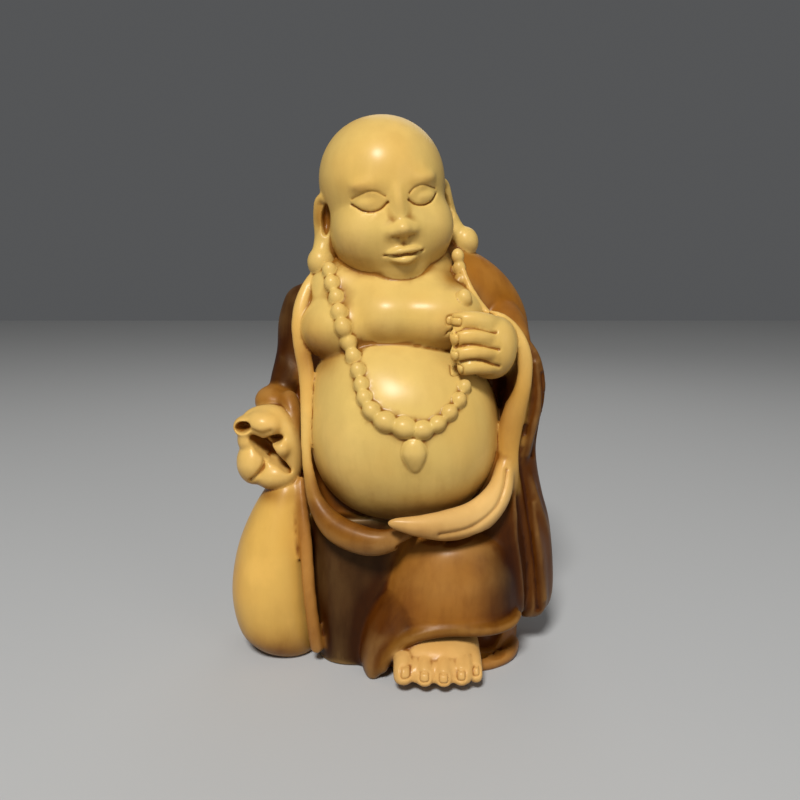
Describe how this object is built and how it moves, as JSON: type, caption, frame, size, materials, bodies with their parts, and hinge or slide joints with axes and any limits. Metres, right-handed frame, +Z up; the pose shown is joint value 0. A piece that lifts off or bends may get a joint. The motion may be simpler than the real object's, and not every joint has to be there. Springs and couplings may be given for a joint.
{
  "type": "budai figure",
  "caption": "Standing laughing-monk figure of fired clay in an open robe, holding a bead string over a round belly, with a tied cloth sack beside it and a flat underside.",
  "frame": {"origin": "middle of the bounding box, on the surface that the underside stands on", "axes": "+Z up from the underside to the crown, -Y the way the belly and the foot look, +X towards the bead hand's side"},
  "size_m": [0.2389, 0.1668, 0.3848],
  "materials": {
    "stained_clay": "satin"
  },
  "bodies": {
    "root": {"budai_figure": "stained_clay"}
  },
  "joints": []
}
